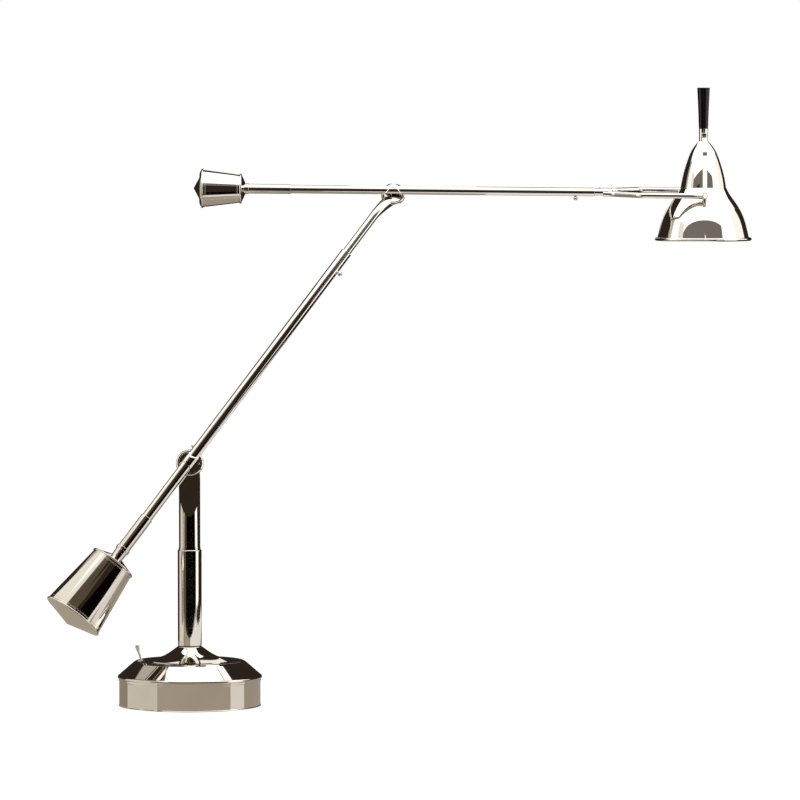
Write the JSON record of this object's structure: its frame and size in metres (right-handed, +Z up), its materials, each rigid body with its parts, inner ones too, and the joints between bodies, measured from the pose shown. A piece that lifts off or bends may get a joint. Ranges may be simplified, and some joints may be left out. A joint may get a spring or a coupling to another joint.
{
  "type": "desk lamp",
  "caption": "Counterweight balance desk lamp: round weighted base, post, sloping lower arm and level upper arm with tapered weights, and a bell shade in a fork.",
  "frame": {"origin": "centre of the felt pad's underside, on the post's axis", "axes": "+Z up along the post, +X along the upper arm towards the shade, -Y the side that the joint faces look to"},
  "size_m": [0.7071, 0.2165, 0.6189],
  "materials": {
    "plated_metal": "polished nickel plate",
    "cast_ballast": "rough cast, black",
    "painted_plate": "satin black paint",
    "felt": "dark felt",
    "steel": "turned steel",
    "black_moulding": "dull black moulding",
    "brass": "turned brass",
    "black_gloss": "polished black",
    "bulb_glass": "frosted glass"
  },
  "bodies": {
    "base": {"base_shell": "plated_metal", "base_ballast": "cast_ballast", "base_plate": "painted_plate", "felt_pad": "felt", "base_screws": "steel", "tie_rod": "steel", "tie_nut": "steel", "cord_inlet": "black_moulding", "post_foot": "plated_metal", "foot_washer": "black_moulding", "post_sleeve": "plated_metal", "post_bush": "brass", "switch_body": "plated_metal", "switch_nut": "plated_metal"},
    "switch_lever": {"switch_lever": "plated_metal"},
    "post": {"upper_post": "plated_metal", "post_retainer": "steel", "lower_cup": "plated_metal"},
    "lower_arm": {"lower_saddle": "plated_metal", "lower_pivot_washer": "steel", "lower_pivot_nut": "steel", "lower_face_screw": "plated_metal", "lower_arm_tube": "plated_metal", "lower_end_sleeve": "plated_metal", "lower_weight_stud": "steel", "lower_weight_shoulder": "plated_metal", "lower_weight": "plated_metal", "lower_weight_cap": "plated_metal", "arm_set_screw": "plated_metal", "rod_clamp_screw": "plated_metal"},
    "knuckle": {"knuckle_rod": "plated_metal", "upper_cup": "plated_metal"},
    "upper_arm": {"upper_saddle": "plated_metal", "upper_pivot_washer": "steel", "upper_pivot_nut": "steel", "upper_arm_tube": "plated_metal", "upper_end_sleeve": "plated_metal", "upper_weight_stud": "steel", "upper_weight_shoulder": "plated_metal", "upper_weight": "plated_metal", "upper_weight_cap": "plated_metal", "stem_clamp_screw": "plated_metal"},
    "fork": {"fork_stem": "plated_metal", "front_prong": "plated_metal", "rear_prong": "plated_metal", "stem_pin": "plated_metal", "prong_eyes": "plated_metal"},
    "shade": {"pivot_screws": "plated_metal", "stirrup": "plated_metal", "lower_ferrule": "plated_metal", "handle_ferrule": "plated_metal", "handle_stud": "steel", "handle": "black_gloss", "shade_dome": "plated_metal", "shade_bell": "plated_metal", "dome_nut": "steel", "lamp_holder": "black_moulding", "holder_plate": "steel", "bulb_cap": "brass", "bulb": "bulb_glass"}
  },
  "joints": [
    {"name": "post_swivel", "type": "hinge", "parent": "base", "child": "post", "pos_m": [0, 0, 0.13], "axis": [0, 0, 1], "range_deg": [-175, 175]},
    {"name": "lower_arm_tilt", "type": "hinge", "parent": "post", "child": "lower_arm", "pos_m": [0, 0.00561, 0.24378], "axis": [0, -0.9511, 0.309], "range_deg": [-25, 12]},
    {"name": "knuckle_roll", "type": "hinge", "parent": "lower_arm", "child": "knuckle", "pos_m": [0, 0, 0.2456], "axis": [0.5835, 0.2509, 0.7723], "range_deg": [-40, 40]},
    {"name": "upper_arm_swivel", "type": "hinge", "parent": "knuckle", "child": "upper_arm", "pos_m": [0.20368, 0.09227, 0.5113], "axis": [0.0064, -0.7651, 0.6439], "range_deg": [-35, 35]},
    {"name": "fork_roll", "type": "hinge", "parent": "upper_arm", "child": "fork", "pos_m": [0.20371, 0.08761, 0.51522], "axis": [1, 0, -0.0099], "range_deg": [-45, 45]},
    {"name": "shade_tilt", "type": "hinge", "parent": "fork", "child": "shade", "pos_m": [0.5178, 0.08761, 0.5121], "axis": [0.0007, 0.9978, 0.0662], "range_deg": [-60, 20]},
    {"name": "switch_toggle", "type": "hinge", "parent": "base", "child": "switch_lever", "pos_m": [-0.0482, -0.014, 0.0467], "axis": [0, 1, 0], "range_deg": [0, 32]}
  ]
}
